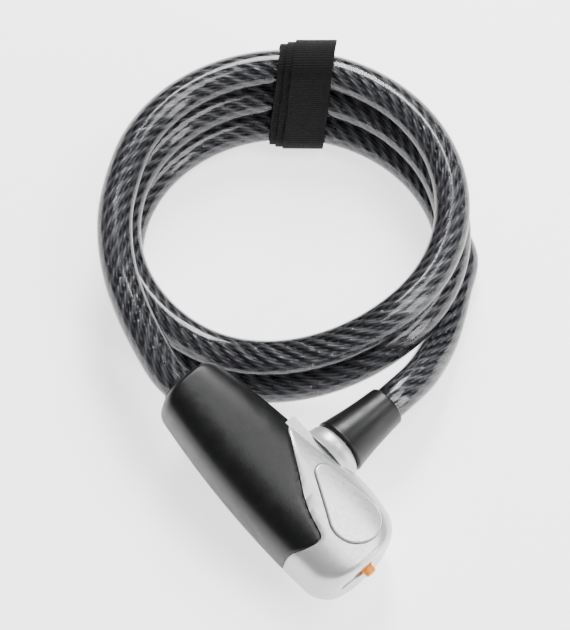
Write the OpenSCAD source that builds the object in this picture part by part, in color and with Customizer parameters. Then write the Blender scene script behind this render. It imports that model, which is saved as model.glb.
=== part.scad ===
// Coiled cable lock: a keyed head, a sheathed steel cable wound in a coil, the bolt end that
// plugs into the head's socket, and a hook-and-loop strap around the coil.
// World frame: +Z up from the surface that the lock lies on. The head points its key end
// along +X, and its socket opens along +Y. Millimetres and degrees.

/* [Head] */
// Distance from the head's middle to the end where the cable enters
cable_end_x = 45.5; // [40:0.5:55]
// Distance from the head's middle to the end with the key
key_end_x = 40; // [38:0.5:48]
// Half width of the head where it is widest
head_half_w = 18.2; // [17:0.2:24]
// Half width of the head at the cable's end
cable_end_half_w = 11.8; // [10.5:0.2:16]
// Thickness of the head at the key end
head_t = 25.5; // [24.5:0.5:32]
// Thickness of the head at the cable's end
cable_end_t = 22.5; // [21:0.5:28]
// Radius that rounds the upper and lower edges at both ends
end_round = 1.6; // [0.9:0.1:3]
// Radius of the corners at the key end, seen from above
key_corner_round = 6.5; // [2:0.5:9]
// Radius of the corners at the cable's end, seen from above
cable_corner_round = 4.5; // [2:0.5:6]
// How far the key end bulges in the middle of its width
key_end_bow = 2.8; // [0:0.2:4]
// Tilt of the head: its cable end rests up against the coil
head_pitch = 10; // [0:1:14]
// Height of the bolt, the key and the cable axes over the head's back
axis_z = 12.5; // [12:0.1:14]
// Height of the seat that the shells close around, over the head's back
core_floor_z = 2.6; // [2:0.1:4]

/* [Cable] */
// Outer diameter of the sheathed cable
cable_d = 12; // [10:0.5:13]
// Long half axis of a turn, at the middle of the cable
turn_a = 56.2; // [50:0.2:70]
// Short half axis of a turn, at the middle of the cable
turn_b = 52.4; // [46:0.2:66]

/* [Bolt end] */
// Where the bolt crosses the head, along the head
bolt_x = 5.4; // [3:0.1:8]
// Bolt diameter
bolt_d = 9; // [8:0.1:9.4]
// Diameter of the bolt's neck, where the latch holds it
neck_d = 6.2; // [5:0.1:6.6]
// Length of the neck
neck_len = 3.2; // [3:0.1:3.6]
// Depth of the bolt's tip past the middle of its neck
bolt_tip = 5; // [4:0.1:6]
// Sleeve diameter at the collar
sleeve_d = 20.2; // [18:0.2:22]
// Sleeve diameter at the cable
sleeve_end_d = 14.4; // [14:0.2:16]
// Length of the sleeve
sleeve_len = 22.9; // [20:0.5:30]

/* [Lock works] */
// Diameter of the key plug
plug_d = 10; // [9:0.1:11]
// Outer diameter of the plug's housing
barrel_d = 15; // [14.4:0.1:15.6]
// Sideways place of the latch plate, in the middle of the bolt's neck
latch_y = 2.5; // [2.3:0.1:2.8]
// Thickness of the latch plate
latch_t = 2.6; // [2:0.1:2.8]
// Travel of the latch plate between open and locked
latch_travel = 3; // [2.6:0.1:3.2]
// Width of the key slot
keyway_w = 2; // [1.6:0.1:2.4]
// Travel of the dust cover
cover_travel = 9; // [8.6:0.1:9.4]

/* [Strap] */
// Width of the strap
strap_w = 14; // [10:0.5:20]
// Thickness of the wound strap around the coil
strap_t = 3; // [2:0.2:5]

/* [Clearances] */
// Radial running clearance of the key plug, the bolt and the sliding pieces
run_gap = 0.05; // [0.02:0.01:0.08]
// Gap between the shells and the core inside them
seat_gap = 0.1; // [0.05:0.05:0.3]
// Visible gap between the grip and the key end housing
shell_gap = 0.3; // [0.2:0.05:0.6]

/* [Hidden] */

$fn = 64;
eps = 0.01;
big = 200;
wafers = 5;
layers = 3;
// Offset that stands the head over the origin
frame_x = 0.8;
frame_y = 2.2;
module in_frame() translate([-frame_x, -frame_y, 0]) children();

// Head outline: the sides are one long shallow bow, and so is the top.
widest_x = 18;
side_bow = (head_half_w - cable_end_half_w) / pow(widest_x + cable_end_x, 2);
top_bow = (head_t - cable_end_t) / pow(widest_x + cable_end_x, 2);
section_z = 10;
back_cut = 0.8;
corner_power = 2 / 3.1;
section_sides = 28;
end_steps = [0, 0.03, 0.1, 0.22, 0.45, 1];
// Swelling of the housing on the socket's side
socket_swell = 2.6;
swell_x = 22;
swell_len = 16;

function half_w(x) = head_half_w - side_bow * pow(x - widest_x, 2);
function swell(x) = socket_swell * exp(-pow((x - swell_x) / swell_len, 2));
function top_z(x) = head_t - top_bow * pow(x - widest_x, 2);
function signed_pow(v, p) = sign(v) * pow(abs(v), p);
function end_bow(x, y) =
    x < 0 ? 0 : key_end_bow * pow(x / key_end_x, 2) * (1 - pow(y / head_half_w, 2));
function inset(depth, r) = depth < r ? r - sqrt(pow(r, 2) - pow(r - depth, 2)) : 0;
// One section across the head at x, its sides and its height drawn in, its top raised by lift
function section(x, in_y, in_z, lift) = [
    for (i = [0:section_sides - 1])
        let (a = 360 * i / section_sides,
             c = signed_pow(cos(a), corner_power),
             s = signed_pow(sin(a), corner_power),
             w = half_w(x) - in_y + (c > 0 ? swell(x) : 0),
             y = w * c,
             up = top_z(x) - section_z - in_z + lift,
             down = section_z + back_cut - in_z)
        [x + end_bow(x, y), y, section_z + (s > 0 ? up : down) * s]];
mid_x0 = -cable_end_x + cable_corner_round;
mid_x1 = key_end_x - key_corner_round;
stations = concat(
    [for (f = end_steps) let (d = f * cable_corner_round)
        [-cable_end_x + d, inset(d, cable_corner_round), inset(d, end_round)]],
    [for (k = [1:7]) [mid_x0 + (mid_x1 - mid_x0) * k / 8, 0, 0]],
    [for (k = [len(end_steps) - 1:-1:0]) let (d = end_steps[k] * key_corner_round)
        [key_end_x - d, inset(d, key_corner_round), inset(d, end_round)]]);

// The skin of a row of rings, with a fan over each end
module skin(rings) {
    n = len(rings[0]);
    m = len(rings);
    points = concat([for (r = rings) each r],
                    [mean_of(rings[0])], [mean_of(rings[m - 1])]);
    sides = [for (j = [0:m - 2], i = [0:n - 1])
        let (a = j * n + i, b = j * n + (i + 1) % n, c = a + n, d = b + n)
        each [[a, b, d], [a, d, c]]];
    ends = [for (i = [0:n - 1]) each [
        [(i + 1) % n, i, m * n],
        [(m - 1) * n + i, (m - 1) * n + (i + 1) % n, m * n + 1]]];
    polyhedron(points, concat(sides, ends), convexity = 8);
}
function mean_of(ring) = [for (k = [0:2]) sum_of([for (p = ring) p[k]]) / len(ring)];
function sum_of(v, i = 0) = i < len(v) ? v[i] + sum_of(v, i + 1) : 0;

module head_shape(lift = 0) {
    intersection() {
        skin([for (s = stations) section(s[0], s[1], s[2], lift)]);
        translate([-big / 2, -big / 2, 0]) cube([big, big, big]);
    }
}

// Where the head stands: its key end's lower edge is on the surface
head_lift = (key_end_x + key_end_bow - end_round
    + sqrt(pow(end_round, 2) - pow(end_round - back_cut, 2))) * sin(head_pitch);
module place_head() in_frame() translate([0, 0, head_lift]) rotate([0, head_pitch, 0]) children();
module along_x() rotate([0, 90, 0]) children();
module along_y() rotate([-90, 0, 0]) children();

// Core: the die-cast body, its works and the room for them
cable_y = -1;
ferrule_r = cable_d / 2 + 1.5;
ferrule_x0 = -cable_end_x + 7.7;
ferrule_x1 = -14;
core_tail_r = ferrule_r + 1.6;
core_x0 = ferrule_x0;
core_x1 = 17;
core_x2 = 36;
core_top_z = 22.2;
core_y0 = -13;
collar_r = 10.4;
collar_seat_y = 16.8;
collar_face_y = 22.6;
spring_r = 4.2;
spring_y = latch_y - bolt_tip - 0.4;
spring_len = 8;
barrel_x0 = 17.6;
barrel_x1 = 37.2;
barrel_r = barrel_d / 2;
plug_r = plug_d / 2;
plug_x1 = barrel_x1 + 0.4;
bolt_r = bolt_d / 2;
neck_r = neck_d / 2;
socket_r = bolt_r + 0.3;
screw_head_r = 2.8;
screw_r = 1.25;
screw_len = 7;
// Screws in the back: one for the grip, two for the key end housing
screws = [[-5, -7.5], [25, -11.6], [25, 11.6]];
foot_z = 9;
foot_half_w = 14.6;

module core_outline(gap) {
    translate([core_x0 - gap, cable_y, axis_z - 1]) along_x()
        cylinder(r = core_tail_r + gap, h = core_x1 - core_x0);
    translate([-11 - gap, core_y0 - gap, core_floor_z - gap])
        cube([core_x1 + 11 + gap, collar_seat_y - core_y0 + gap, core_top_z - core_floor_z + 2 * gap]);
    translate([core_x1 - eps, -9.6 - gap, core_floor_z - gap])
        cube([core_x2 - core_x1 + gap, 19.2 + 2 * gap, core_top_z - core_floor_z + 2 * gap]);
    translate([core_x1 - eps, -foot_half_w - gap, core_floor_z - gap])
        cube([29.6 - core_x1 + gap, 2 * (foot_half_w + gap), foot_z - core_floor_z + 2 * gap]);
}
module screw_holes(r) {
    for (s = screws) translate([s[0], s[1], 0]) cylinder(r = r, h = screw_len + 1);
}
module screw_seats() {
    for (s = screws) translate([s[0], s[1], -eps]) {
        cylinder(r = screw_head_r + seat_gap, h = 1.7);
        cylinder(r = screw_r + seat_gap, h = core_floor_z + 1);
    }
}

// Grip and key end housing: the head's shape, parted along a line that runs from the
// socket's side to the far side of the key end
parting = [[-11.5, 21], [-10.4, 16], [-8.4, 12.4], [-5, 9.8], [0, 6.5], [6, 2.8], [12, -1], [18, -3.8],
           [23, -5.3], [25.4, -6.1], [26.6, -7.1], [26.9, -8.6], [26.4, -11], [25.2, -14],
           [22.8, -18], [21, -24]];
module grip_side(gap) {
    linear_extrude(height = big, center = true)
        polygon(concat([for (p = parting) [p[0] - gap / 2, p[1] - gap / 2]], [[-80, -40], [-80, 40]]));
}
module housing_side(gap) {
    difference() {
        translate([-12, -40, -10]) cube([90, 80, 60]);
        linear_extrude(height = big, center = true)
            polygon(concat([for (p = parting) [p[0] + gap / 2, p[1] + gap / 2]],
                           [[-80, -40], [-80, 40]]));
    }
}
module grip_cover() color([0.09, 0.09, 0.1]) place_head() difference() {
    intersection() {
        head_shape();
        grip_side(shell_gap);
    }
    core_outline(seat_gap);
    translate([-cable_end_x - 1, cable_y, axis_z - 1]) along_x()
        cylinder(r = grommet_r, h = core_x0 + cable_end_x + 2);
    screw_seats();
    collar_hole();
}
module collar_hole() {
    translate([bolt_x, collar_seat_y - seat_gap, axis_z]) along_y() cylinder(r = collar_r + 0.15, h = 20);
}
badge_seat_z = 22.8;
badge_lift = 0.7;
badge_big = [29.2, 6.6, 9];
badge_small = [11, 9.9, 3.4];
// Teardrop: two circles and their outer tangents
module badge_outline(gap) {
    across = [badge_small[0] - badge_big[0], badge_small[1] - badge_big[1]];
    lean = acos((badge_big[2] - badge_small[2]) / norm(across));
    a = atan2(across[1], across[0]);
    translate([0, 0, badge_seat_z]) {
        for (c = [badge_big, badge_small]) translate([c[0], c[1], 0]) cylinder(r = c[2] + gap, h = 12);
        linear_extrude(height = 12) polygon([
            for (c = [[badge_big, 1], [badge_small, 1], [badge_small, -1], [badge_big, -1]])
                [c[0][0] + (c[0][2] + gap) * cos(a + c[1] * lean),
                 c[0][1] + (c[0][2] + gap) * sin(a + c[1] * lean)]]);
    }
}
keyhole_r = plug_r - 0.8;
tab_y = 2;
tab_z = 10.8;
tab_w = 3.8;
tab_h = 2.8;
cover_x0 = plug_x1 + 0.15;
cover_t = 1.2;
cover_y0 = -4.8;
cover_y1 = 5;
cover_z0 = axis_z - keyhole_r - 0.9;
cover_z1 = axis_z + keyhole_r + 0.7;
module cover_room() {
    translate([barrel_x1 - 1.3, cover_y0 - cover_travel - 0.3, cover_z0 - 0.2])
        cube([cover_x0 + cover_t + 0.15 - barrel_x1 + 1.3, cover_y1 - cover_y0 + cover_travel + 0.6,
              cover_z1 - cover_z0 + 0.4]);
    translate([core_x2 - 1, 0, axis_z]) along_x() cylinder(r = barrel_r + seat_gap, h = 2.9);
}
module key_end_housing() color([0.78, 0.79, 0.8]) place_head() difference() {
    intersection() {
        head_shape();
        housing_side(shell_gap);
    }
    core_outline(seat_gap);
    cover_room();
    collar_hole();
    badge_outline(seat_gap);
    translate([plug_x1, 0, axis_z]) along_x() cylinder(r = keyhole_r, h = 12);
    translate([plug_x1, tab_y - tab_w / 2 - cover_travel - 0.3, tab_z - tab_h / 2 - 0.2])
        cube([12, tab_w + cover_travel + 0.6, tab_h + 0.4]);
    screw_seats();
}
module badge_plate() color([0.8, 0.81, 0.82]) place_head() intersection() {
    head_shape(badge_lift);
    translate([0, 0, eps]) badge_outline(0);
}

module socket_collar() color([0.8, 0.81, 0.82]) place_head()
    translate([bolt_x, 0, axis_z]) along_y() rotate_extrude() polygon([
        [socket_r, collar_seat_y], [collar_r, collar_seat_y], [collar_r, collar_face_y - 1.6],
        [collar_r - 0.5, collar_face_y - 0.5], [collar_r - 1.6, collar_face_y],
        [socket_r + 0.6, collar_face_y], [socket_r, collar_face_y - 0.6]]);

latch_x0 = bolt_x - bolt_r - 1.8;
latch_x1 = bolt_x + bolt_r + 1.8;
latch_z0 = axis_z - latch_travel - neck_r - 2.1;
latch_z1 = axis_z + bolt_r + 1.9;
crank_r = latch_travel / sqrt(2);
crank_pin_r = 1;
arm_x0 = latch_x1 - 0.4;
arm_x1 = 15.2;
arm_y0 = -1.2;
arm_y1 = 4.8;
arm_z0 = axis_z - crank_r / sqrt(2) - 3;
arm_z1 = arm_z0 + 6;
cam_x0 = arm_x1 + 0.3;
cam_t = 1.9;
cam_r = plug_r - 0.3;
slide_gap = 0.1;
module latch_room() {
    translate([latch_x0 - 0.3, latch_y - latch_t / 2 - slide_gap, latch_z0 - 0.3])
        cube([latch_x1 - latch_x0 + 0.6, latch_t + 2 * slide_gap, 20]);
    translate([arm_x0 - 0.3, arm_y0 - 0.3, arm_z0 - 0.3])
        cube([arm_x1 - arm_x0 + 0.6, arm_y1 - arm_y0 + 0.6, 6.6 + latch_travel]);
}
barrel_pin_x = 28;
barrel_pin_y = barrel_r - 0.6;
barrel_pin_r = 1.25;
pin_len = 15;
ferrule_pin_x = -26;
ferrule_pin_r = 1.5;
ferrule_pin_y = cable_y - ferrule_r + 0.5;
ferrule_pin_len = 6;
module cross_pin(x, y, r, z, h) translate([x, y, z]) cylinder(r = r, h = h);
module lock_body() color([0.62, 0.62, 0.64]) place_head() difference() {
    core_outline(0);
    translate([core_x0 - 1, cable_y, axis_z - 1]) along_x()
        cylinder(r = ferrule_r, h = ferrule_x1 - core_x0 + 1);
    translate([bolt_x, spring_y, axis_z]) along_y() cylinder(r = socket_r, h = 40);
    translate([bolt_x, spring_y - spring_len, axis_z]) along_y() cylinder(r = spring_r, h = 10);
    latch_room();
    translate([barrel_x0, 0, axis_z]) along_x() cylinder(r = barrel_r, h = 30);
    translate([cam_x0 - 0.3, 0, axis_z]) along_x() cylinder(r = cam_r + 0.5, h = 10);
    cross_pin(barrel_pin_x, barrel_pin_y, barrel_pin_r, axis_z - pin_len / 2, pin_len);
    cross_pin(ferrule_pin_x, ferrule_pin_y, ferrule_pin_r, axis_z - 1 - ferrule_pin_len / 2, ferrule_pin_len);
    screw_holes(screw_r);
}
module barrel_pin() color([0.7, 0.7, 0.72]) place_head()
    cross_pin(barrel_pin_x, barrel_pin_y, barrel_pin_r, axis_z - pin_len / 2, pin_len);
module ferrule_pin() color([0.7, 0.7, 0.72]) place_head()
    cross_pin(ferrule_pin_x, ferrule_pin_y, ferrule_pin_r, axis_z - 1 - ferrule_pin_len / 2, ferrule_pin_len);
module cable_ferrule() color([0.72, 0.72, 0.74]) place_head() difference() {
    translate([ferrule_x0, cable_y, axis_z - 1]) along_x()
        cylinder(r = ferrule_r, h = ferrule_x1 - ferrule_x0);
    translate([ferrule_x0 - 1, cable_y, axis_z - 1]) along_x()
        cylinder(r = cable_d / 2, h = cable_start_x - ferrule_x0 + 1);
    cross_pin(ferrule_pin_x, ferrule_pin_y, ferrule_pin_r, axis_z - 1 - ferrule_pin_len / 2, ferrule_pin_len);
}
cable_start_x = ferrule_x0 + 4;
grommet_r = cable_d / 2 + 1.4;
module cable_grommet() color([0.05, 0.05, 0.055]) place_head()
    translate([0, cable_y, axis_z - 1]) along_x() rotate_extrude() polygon([
        [cable_d / 2, -cable_end_x - 0.3], [grommet_r - 0.5, -cable_end_x - 0.3],
        [grommet_r - 0.05, -cable_end_x + 0.4], [grommet_r - 0.05, ferrule_x0 - 0.2],
        [cable_d / 2, ferrule_x0 - 0.2]]);
module cover_screws() color([0.55, 0.55, 0.57]) place_head() for (s = screws) difference() {
    translate([s[0], s[1], 0.1]) {
        cylinder(r = screw_head_r, h = 1.5);
        cylinder(r = screw_r, h = screw_len);
    }
    for (a = [0, 90]) translate([s[0], s[1], 0]) rotate([0, 0, a])
        translate([-1.6, -0.4, 0]) cube([3.2, 0.8, 0.9]);
}

// Key plug and its wafers
keyway_x0 = 23;
keyway_h = plug_d - 2.6;
wafer_x0 = 24.4;
wafer_pitch = 2.5;
wafer_t = 0.9;
wafer_w = 0.6 * plug_d;
wafer_h = 0.78 * plug_d;
module cylinder_barrel() color([0.72, 0.6, 0.36]) place_head() difference() {
    translate([barrel_x0, 0, axis_z]) along_x() cylinder(r = barrel_r, h = barrel_x1 - barrel_x0);
    translate([barrel_x0 - 1, 0, axis_z]) along_x() cylinder(r = plug_r + run_gap, h = 40);
    cross_pin(barrel_pin_x, barrel_pin_y, barrel_pin_r, axis_z - pin_len / 2, pin_len);
}
module wafer_blank(i, gap) {
    translate([wafer_x0 + i * wafer_pitch - gap, -wafer_w / 2 - gap, axis_z - wafer_h / 2 - gap])
        cube([wafer_t + 2 * gap, wafer_w + 2 * gap, wafer_h + 2 * gap]);
}
module keyway(w, h) {
    translate([keyway_x0, -w / 2, axis_z - h / 2]) cube([40, w, h]);
}
module key_plug() color([0.78, 0.66, 0.4]) place_head() difference() {
    translate([cam_x0 + cam_t, 0, axis_z]) along_x() cylinder(r = plug_r, h = plug_x1 - cam_x0 - cam_t);
    keyway(keyway_w, keyway_h);
    for (i = [0:wafers - 1]) wafer_blank(i, 0.05);
    translate([cam_x0, 0, axis_z]) along_x() cylinder(r = cam_screw_r, h = 6.5);
}
module wafer(i) color([0.82, 0.72, 0.45]) place_head() difference() {
    wafer_blank(i, 0);
    keyway(keyway_w + 0.4, wafer_h - 2.6 - 0.5 * (i % 3));
}
cam_screw_r = 1;
module plug_cam() color([0.66, 0.66, 0.68]) place_head() translate([0, 0, axis_z]) difference() {
    union() {
        translate([cam_x0, 0, 0]) along_x() cylinder(r = cam_r, h = cam_t);
        rotate([-45, 0, 0]) translate([arm_x0 + 0.6, crank_r, 0]) along_x()
            cylinder(r = crank_pin_r, h = cam_x0 - arm_x0);
    }
    translate([cam_x0 - 1, 0, 0]) along_x() cylinder(r = cam_screw_r, h = 10);
    translate([cam_x0 - eps, 0, 0]) along_x() cylinder(r1 = 1.9, r2 = cam_screw_r, h = 0.9);
}
module cam_screw() color([0.55, 0.55, 0.57]) place_head() translate([cam_x0, 0, axis_z]) along_x()
    rotate_extrude() polygon([[0, 0], [1.85, 0.03], [cam_screw_r, 0.86], [cam_screw_r, 6], [0, 6]]);
module latch_plate() color([0.6, 0.6, 0.63]) place_head() difference() {
    union() {
        translate([latch_x0, latch_y - latch_t / 2, latch_z0])
            cube([latch_x1 - latch_x0, latch_t, latch_z1 - latch_z0]);
        translate([arm_x0, arm_y0, arm_z0]) cube([arm_x1 - arm_x0, arm_y1 - arm_y0, arm_z1 - arm_z0]);
    }
    translate([bolt_x, -20, axis_z]) along_y() cylinder(r = bolt_r + 0.2, h = 40);
    translate([bolt_x, -20, axis_z - latch_travel]) along_y() cylinder(r = neck_r + 0.2, h = 40);
    crank_slot();
}
module crank_slot() {
    r = crank_pin_r + 0.12;
    z = axis_z - crank_r / sqrt(2);
    y0 = crank_r / sqrt(2) - 0.1;
    y1 = crank_r + 0.1;
    for (y = [y0, y1]) translate([arm_x0 - 5, y, z]) along_x() cylinder(r = r, h = 20);
    translate([arm_x0 - 5, y0, z - r]) cube([20, y1 - y0, 2 * r]);
}
module dust_cover() color([0.95, 0.6, 0.08]) place_head() union() {
    translate([cover_x0, cover_y0, cover_z0]) cube([cover_t, cover_y1 - cover_y0, cover_z1 - cover_z0]);
    translate([cover_x0 + eps, tab_y, tab_z]) along_x() difference() {
        translate([-tab_h / 2, -tab_w / 2, 0]) cube([tab_h, tab_w, tab_x1 - cover_x0]);
        for (s = [-1, 1]) translate([0, s * tab_w / 2, tab_x1 - cover_x0]) rotate([s * 45, 0, 0])
            translate([-5, -5, -0.5]) cube([10, 10, 5]);
    }
}
tab_x1 = key_end_x + key_end_bow + 2;

// Ejector spring behind the bolt's tip
wire_r = 0.5;
spring_turns = 4;
spring_steps = 12;
module eject_spring() color([0.75, 0.75, 0.77]) place_head() {
    r = spring_r - wire_r - 0.2;
    y0 = spring_y - spring_len + wire_r + 0.1;
    rise = (spring_len - 2 * wire_r - 0.2) / spring_turns;
    skin([for (k = [0:spring_turns * spring_steps])
        let (a = 360 * k / spring_steps, y = y0 + rise * k / spring_steps)
        [for (i = [0:7]) let (b = -45 * i, d = r + wire_r * cos(b))
            [bolt_x + d * cos(a), y + wire_r * sin(b), axis_z + d * sin(a)]]]);
}

// Bolt end
sleeve_y0 = collar_face_y + 1.1;
sleeve_y1 = sleeve_y0 + sleeve_len;
flange_y = sleeve_y0 + 1.2;
crimp_y0 = flange_y + 2;
crimp_y1 = crimp_y0 + 13;
crimp_r = cable_d / 2 + 0.8;
bolt_tail_r = 3.2;
cable_seat_y = crimp_y0 + 5;
cable_gap = 0.1;
function sleeve_r(y) =
    (sleeve_d + (sleeve_end_d - sleeve_d) * (y - sleeve_y0) / sleeve_len) / 2;
module bolt_axis() place_head() translate([bolt_x, 0, axis_z]) along_y() children();
module locking_bolt() color([0.74, 0.74, 0.76]) bolt_axis() difference() {
    rotate_extrude() polygon([
        [0, latch_y - bolt_tip], [bolt_r - 1.2, latch_y - bolt_tip], [bolt_r, latch_y - bolt_tip + 1.2],
        [bolt_r, latch_y - neck_len / 2], [neck_r, latch_y - neck_len / 2],
        [neck_r, latch_y + neck_len / 2], [bolt_r, latch_y + neck_len / 2],
        [bolt_r, flange_y], [crimp_r, flange_y], [crimp_r, crimp_y0],
        [bolt_tail_r, crimp_y0], [bolt_tail_r, cable_seat_y], [0, cable_seat_y]]);
    translate([0, 0, crimp_y0 + 2.5]) along_x() cylinder(r = 1, h = 40, center = true);
}
module end_ferrule() color([0.72, 0.72, 0.74]) bolt_axis() difference() {
    translate([0, 0, crimp_y0]) cylinder(r = crimp_r, h = crimp_y1 - crimp_y0);
    translate([0, 0, crimp_y0 - 1]) cylinder(r = bolt_tail_r, h = 10);
    translate([0, 0, cable_seat_y - 0.1]) cylinder(r = cable_d / 2 + cable_gap, h = 30);
    translate([0, 0, crimp_y0 + 2.5]) along_x() cylinder(r = 1, h = 40, center = true);
}
module bolt_cross_pin() color([0.7, 0.7, 0.72]) bolt_axis()
    translate([0, 0, crimp_y0 + 2.5]) along_x() cylinder(r = 1, h = 2 * crimp_r - 0.4, center = true);
sleeve_round = 1;
module bolt_sleeve() color([0.1, 0.1, 0.11]) bolt_axis() rotate_extrude() polygon([
    [crimp_r, flange_y - 0.2], [sleeve_r(sleeve_y0) - 1.8, sleeve_y0], [sleeve_r(sleeve_y0) - 0.4, sleeve_y0],
    [sleeve_r(sleeve_y0), sleeve_y0 + 0.4], [sleeve_r(sleeve_y1) , sleeve_y1 - sleeve_round],
    [sleeve_r(sleeve_y1) - 0.3, sleeve_y1 - 0.3], [sleeve_r(sleeve_y1) - sleeve_round, sleeve_y1],
    [cable_d / 2 + 2 * cable_gap, sleeve_y1], [cable_d / 2 + cable_gap, crimp_y1], [crimp_r, crimp_y1]]);

// Coil. The turns lie in a frame that is turned about Z, so that p runs along their long
// half axis and q along the short one.
coil_turn = 46;
cable_r = cable_d / 2;
layer_h = cable_d;
stack_h = layers * layer_h;
ring_out = turn_a + cable_r - 0.6;
ring_in = turn_b - cable_r - 1.6;
// The ring passes just beside the bolt end's way out and just under the head's cable end
ring_side_x = -2.133;
corner_lap = 0.985;
ring_x = ring_side_x - ring_out;
ring_y = cable_end_half_w + sqrt(pow(ring_out - corner_lap, 2) - pow(ring_x + cable_end_x, 2));
// The strap passes under the far side of the coil and lifts it there
coil_tilt = asin(strap_t / (ring_out + ring_in + 0.6));
module coil_frame() in_frame() translate([ring_x, ring_y, 0]) rotate([0, 0, coil_turn])
    translate([0, -ring_out, 0]) rotate([coil_tilt, 0, 0]) translate([0, ring_out, 0]) children();
edge_round = 5;
ring_w = ring_out - ring_in;
module cable_coil() color([0.16, 0.16, 0.18]) coil_frame() rotate_extrude($fn = 96) polygon([
    for (c = [[ring_in + edge_round, edge_round, 180], [ring_out - edge_round, edge_round, 270],
              [ring_out - edge_round, stack_h - edge_round, 0],
              [ring_in + edge_round, stack_h - edge_round, 90]], k = [0:4])
        [c[0] + edge_round * cos(c[2] + 22.5 * k), c[1] + edge_round * sin(c[2] + 22.5 * k)]]);

// Strap around the far side of the coil
strap_at = 5.5;
strap_gap = 1.3;
module strap() color([0.07, 0.07, 0.075]) coil_frame() rotate([0, 0, -strap_at])
    translate([0, (ring_in + ring_out) / 2, stack_h / 2]) rotate([0, 90, 0]) difference() {
        strap_block(strap_t);
        strap_block(strap_gap / 2, 20);
    }
module strap_block(grow, extra = 0) {
    w = ring_w + 2 * grow;
    h = stack_h + 2 * grow;
    r = edge_round;
    linear_extrude(height = strap_w + extra, center = true) polygon([
        for (c = [[h / 2 - r, w / 2 - r, 0], [-h / 2 + r, w / 2 - r, 90],
                  [-h / 2 + r, -w / 2 + r, 180], [h / 2 - r, -w / 2 + r, 270]], k = [0:6])
            [c[0] + r * cos(c[2] + 15 * k), c[1] + r * sin(c[2] + 15 * k)]]);
}

// Free stretches of the cable: from the head up onto the coil, and from the coil down to
// the bolt end. Points are in world millimetres.
lead_points = [[-84, 11, 30.4], [-94, 17.5, 31], [-103, 25.5, 31.4], [-110, 34.5, 31.6]];
tail_points = [[-19, 108, 7], [-12.5, 98.5, 7], [-6.5, 89.5, 7.2], [-1.2, 80.5, 8.5], [3, 71.5, 11.8],
               [6.2, 62.5, 16]];
head_end = [-cable_end_x, cable_y, axis_z - 1];
function in_world(p) = [
    p[0] * cos(head_pitch) + p[2] * sin(head_pitch), p[1],
    -p[0] * sin(head_pitch) + p[2] * cos(head_pitch) + head_lift];
lead_route = concat(
    [for (x = [cable_start_x, -cable_end_x, -cable_end_x - 8]) in_world([x, cable_y, axis_z - 1])],
    [[-64, 2.6, 29.2], [-74, 6.2, 30]], lead_points);
tail_route = concat(tail_points,
    [for (y = [sleeve_y1 + 6, sleeve_y1, cable_seat_y + 0.1]) in_world([bolt_x, y, axis_z])]);

// A smooth line through a list of points
function at(p, i) = i < 0 ? 2 * p[0] - p[1] : i >= len(p) ? 2 * p[len(p) - 1] - p[len(p) - 2] : p[i];
function along(p, i, t) = 0.5 * (2 * at(p, i) + (at(p, i + 1) - at(p, i - 1)) * t
    + (2 * at(p, i - 1) - 5 * at(p, i) + 4 * at(p, i + 1) - at(p, i + 2)) * t * t
    + (3 * at(p, i) - at(p, i - 1) - 3 * at(p, i + 1) + at(p, i + 2)) * t * t * t);
function line_through(p, steps) = concat(
    [for (i = [0:len(p) - 2], k = [0:steps - 1]) along(p, i, k / steps)], [p[len(p) - 1]]);
function unit(v) = v / norm(v);
function heading(p, i) = unit(p[min(i + 1, len(p) - 1)] - p[max(i - 1, 0)]);
tube_sides = 12;
module tube(route, r) {
    p = line_through(route, 2);
    in_frame() skin([for (i = [0:len(p) - 1])
        let (d = heading(p, i), side = unit(cross(d, [0, 0, 1])), up = cross(side, d))
        [for (k = [0:tube_sides - 1]) let (a = -360 * k / tube_sides)
            p[i] + r * cos(a) * side + r * sin(a) * up]]);
}
module cable_lead() color([0.16, 0.16, 0.18]) tube(lead_route, cable_r);
module cable_tail() color([0.16, 0.16, 0.18]) tube(tail_route, cable_r);

grip_cover();
key_end_housing();
badge_plate();
socket_collar();
lock_body();
cable_ferrule();
ferrule_pin();
cable_grommet();
cover_screws();
cylinder_barrel();
barrel_pin();
key_plug();
wafer(0);  // wafer_1
wafer(1);  // wafer_2
wafer(2);  // wafer_3
wafer(3);  // wafer_4
wafer(4);  // wafer_5
plug_cam();
cam_screw();
latch_plate();
dust_cover();
eject_spring();
locking_bolt();
bolt_sleeve();
end_ferrule();
bolt_cross_pin();
cable_lead();
cable_coil();
cable_tail();
strap();
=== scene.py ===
import math

import bmesh
import bpy
from mathutils import Matrix, Vector

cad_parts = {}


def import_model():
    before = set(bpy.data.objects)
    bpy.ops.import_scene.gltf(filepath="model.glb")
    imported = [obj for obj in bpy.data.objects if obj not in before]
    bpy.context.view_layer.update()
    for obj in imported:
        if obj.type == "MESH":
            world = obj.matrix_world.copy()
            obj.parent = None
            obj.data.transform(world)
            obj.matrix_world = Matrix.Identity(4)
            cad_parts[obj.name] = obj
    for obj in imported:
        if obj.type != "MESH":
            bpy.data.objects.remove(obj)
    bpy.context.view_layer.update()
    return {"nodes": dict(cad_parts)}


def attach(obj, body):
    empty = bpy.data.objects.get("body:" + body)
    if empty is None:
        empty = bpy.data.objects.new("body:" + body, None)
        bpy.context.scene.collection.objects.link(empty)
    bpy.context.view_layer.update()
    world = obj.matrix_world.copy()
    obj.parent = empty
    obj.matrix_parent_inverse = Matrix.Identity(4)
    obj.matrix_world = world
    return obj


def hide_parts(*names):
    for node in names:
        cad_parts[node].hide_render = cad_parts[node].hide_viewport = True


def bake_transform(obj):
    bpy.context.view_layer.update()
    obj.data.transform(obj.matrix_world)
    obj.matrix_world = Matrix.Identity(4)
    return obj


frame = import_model()
nodes = frame["nodes"]

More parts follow.
